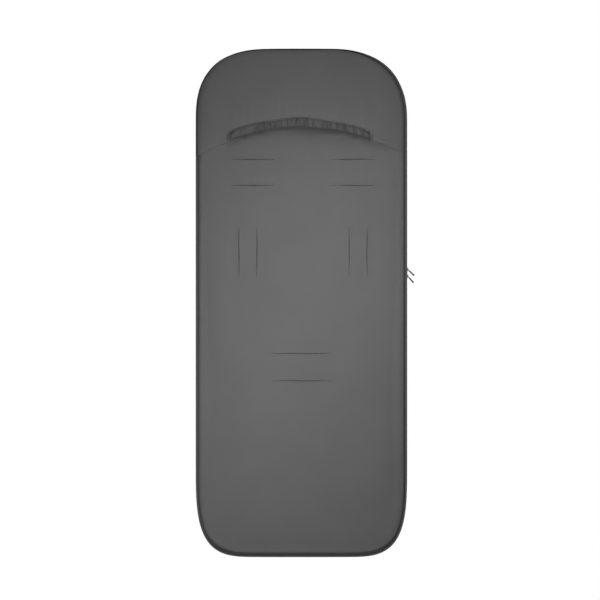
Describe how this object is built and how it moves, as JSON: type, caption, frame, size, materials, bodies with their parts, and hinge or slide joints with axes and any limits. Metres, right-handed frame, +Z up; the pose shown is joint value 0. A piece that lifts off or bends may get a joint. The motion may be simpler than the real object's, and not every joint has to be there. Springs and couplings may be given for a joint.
{
  "type": "stroller footmuff",
  "caption": "Padded stroller footmuff with a zip-on domed front cover, harness slots in rows and a gathered seat-back pocket.",
  "frame": {"origin": "on the flat outer face of the back panel, on its centre line, between the waist slots and the crotch slots, where it lies on the seat back", "axes": "+Z up towards the head end, -Y out of the back face towards the stroller's seat back, +Y towards the front cover, +X towards the zip sliders' side"},
  "size_m": [0.4312, 0.0998, 0.9994],
  "materials": {
    "shell_cloth": "matte",
    "wadding": "matte",
    "lining_fleece": "matte",
    "piping_cloth": "matte",
    "binding_cloth": "matte",
    "casing_cloth": "matte",
    "elastic": "matte",
    "thread": "matte",
    "zip_tape": "matte",
    "zip_coil": "satin",
    "slider_metal": "satin",
    "pull_rubber": "matte"
  },
  "bodies": {
    "back_panel": {"back_shell": "shell_cloth", "back_wadding": "wadding", "back_lining": "lining_fleece", "back_piping": "piping_cloth", "head_edge_binding": "binding_cloth", "pocket_panel": "shell_cloth", "pocket_hem_casing": "casing_cloth", "pocket_elastic": "elastic", "pocket_bartack_left": "thread", "pocket_bartack_right": "thread", "slot_binding_shoulder_upper_left": "binding_cloth", "slot_binding_shoulder_upper_right": "binding_cloth", "slot_binding_shoulder_lower_left": "binding_cloth", "slot_binding_shoulder_lower_right": "binding_cloth", "slot_binding_waist_inner_left": "binding_cloth", "slot_binding_waist_outer_left": "binding_cloth", "slot_binding_waist_inner_right": "binding_cloth", "slot_binding_waist_outer_right": "binding_cloth", "slot_binding_crotch_upper": "binding_cloth", "slot_binding_crotch_lower": "binding_cloth", "zip_tape_back": "zip_tape", "zip_coil_back": "zip_coil", "zip_stop_back_left": "zip_coil", "zip_stop_back_right": "zip_coil"},
    "front_cover": {"cover_shell": "shell_cloth", "cover_wadding": "wadding", "cover_lining": "lining_fleece", "cover_piping": "piping_cloth", "cover_top_binding": "binding_cloth", "zip_tape_cover": "zip_tape", "zip_coil_cover": "zip_coil", "zip_stop_cover_left": "zip_coil", "zip_stop_cover_right": "zip_coil"},
    "upper_slider": {"slider_body_upper": "slider_metal"},
    "upper_pull": {"pull_upper": "pull_rubber"},
    "lower_slider": {"slider_body_lower": "slider_metal"},
    "lower_pull": {"pull_lower": "pull_rubber"}
  },
  "joints": [
    {"name": "cover_open", "type": "hinge", "parent": "back_panel", "child": "front_cover", "pos_m": [-0.2078, 0.0256, 0], "axis": [0, 0, 1], "range_deg": [0, 165]},
    {"name": "upper_slider_travel", "type": "slide", "parent": "back_panel", "child": "upper_slider", "axis": [0, 0, 1], "range_m": [0, 0.117]},
    {"name": "lower_slider_travel", "type": "slide", "parent": "back_panel", "child": "lower_slider", "axis": [0, 0, -1], "range_m": [0, 0.35]},
    {"name": "upper_pull_swing", "type": "hinge", "parent": "upper_slider", "child": "upper_pull", "pos_m": [0.20985, 0.0256, 0.091], "axis": [0, 1, 0], "range_deg": [-123, 19]},
    {"name": "lower_pull_swing", "type": "hinge", "parent": "lower_slider", "child": "lower_pull", "pos_m": [0.20985, 0.0256, 0.078], "axis": [0, 1, 0], "range_deg": [-37, 31]}
  ]
}
